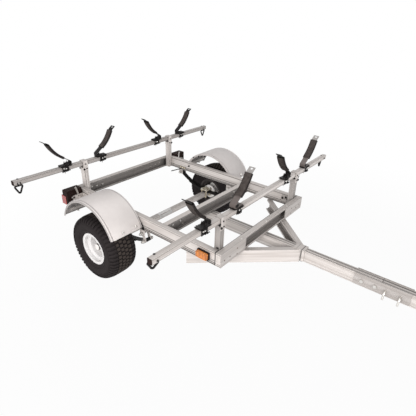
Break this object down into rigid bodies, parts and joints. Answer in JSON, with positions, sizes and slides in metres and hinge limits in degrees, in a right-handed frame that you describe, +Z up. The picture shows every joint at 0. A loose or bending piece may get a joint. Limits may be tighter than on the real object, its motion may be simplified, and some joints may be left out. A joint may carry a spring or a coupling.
{
  "type": "boat trailer",
  "caption": "Light galvanised two-wheel trailer with a long tongue and two raised load bars that carry padded, upswept cradle arms for small hulls",
  "frame": {"origin": "On the floor, midway along the length between the coupler's nose and the rails' rear ends, on the tongue's middle line", "axes": "+X forwards along the tongue, +Y to the trailer's left, +Z up"},
  "size_m": [3.374, 1.96, 0.8996],
  "materials": {
    "galvanised": "hot-dip zinc, dull and lightly mottled",
    "zinc_hardware": "bright zinc plating",
    "spring_black": "satin black coating",
    "rim_white": "white enamel",
    "tyre": "matt rubber",
    "caster_rubber": "moulded, matt",
    "cap_black": "moulded, fine grain",
    "lens_red": "clear ribbed lens",
    "lens_amber": "clear ribbed lens",
    "pad_black": "soft closed-cell foam sleeve"
  },
  "bodies": {
    "frame": {"rail_right": "galvanised", "rail_left": "galvanised", "member_front": "galvanised", "member_middle": "galvanised", "member_rear": "galvanised", "corner_plates": "galvanised", "post_plates": "galvanised", "tongue_rear": "galvanised", "tongue_front": "galvanised", "splice_plates": "galvanised", "brace_right": "galvanised", "brace_left": "galvanised", "tongue_collar": "galvanised", "spring_hangers": "galvanised", "spring_shackles": "galvanised", "axle_clamps": "galvanised", "posts_front": "galvanised", "posts_rear": "galvanised", "post_saddles": "galvanised", "crossbar_front": "galvanised", "crossbar_rear": "galvanised", "fender_brackets": "galvanised", "lamp_brackets": "galvanised", "jack_bracket": "galvanised", "axle": "galvanised", "fender_right": "galvanised", "fender_left": "galvanised", "coupler": "galvanised", "coupler_latch": "galvanised", "splice_bolts": "zinc_hardware", "hitch_pins": "zinc_hardware", "spring_right": "spring_black", "spring_left": "spring_black", "cradle_clamps": "spring_black", "cradle_arms_front_right": "spring_black", "cradle_arms_front_left": "spring_black", "cradle_arms_rear_right": "spring_black", "cradle_arms_rear_left": "spring_black", "tie_rings": "spring_black", "bar_caps": "cap_black", "marker_bases": "cap_black", "tail_lamp_right": "cap_black", "tail_lamp_left": "cap_black", "tail_lenses": "lens_red", "marker_lenses": "lens_amber", "cradle_pads_front_right": "pad_black", "cradle_pads_front_left": "pad_black", "cradle_pads_rear_right": "pad_black", "cradle_pads_rear_left": "pad_black"},
    "wheel_right": {"tyre_right": "tyre", "rim_right": "rim_white", "hub_right": "galvanised"},
    "wheel_left": {"tyre_left": "tyre", "rim_left": "rim_white", "hub_left": "galvanised"},
    "jack": {"jack_tube": "galvanised", "jack_crank": "galvanised"},
    "leg": {"jack_leg": "galvanised"},
    "fork": {"jack_fork": "galvanised"},
    "caster": {"jack_wheel": "caster_rubber"}
  },
  "joints": [
    {"name": "wheel_right_spin", "type": "hinge", "parent": "frame", "child": "wheel_right", "pos_m": [-1.2, -0.64, 0.235], "axis": [0, 1, 0], "continuous": true},
    {"name": "wheel_left_spin", "type": "hinge", "parent": "frame", "child": "wheel_left", "pos_m": [-1.2, 0.64, 0.235], "axis": [0, 1, 0], "continuous": true},
    {"name": "jack_swing", "type": "hinge", "parent": "frame", "child": "jack", "pos_m": [1.247, 0.05, 0.361], "axis": [0, 1, 0], "range_deg": [0, 90]},
    {"name": "jack_leg_slide", "type": "slide", "parent": "jack", "child": "leg", "axis": [0, 0, 1], "range_m": [-0.05, 0.12]},
    {"name": "caster_swivel", "type": "hinge", "parent": "leg", "child": "fork", "pos_m": [1.247, 0.13, 0.17], "axis": [0, 0, 1], "continuous": true},
    {"name": "caster_spin", "type": "hinge", "parent": "fork", "child": "caster", "pos_m": [1.225, 0.13, 0.075], "axis": [0, 1, 0], "continuous": true}
  ]
}
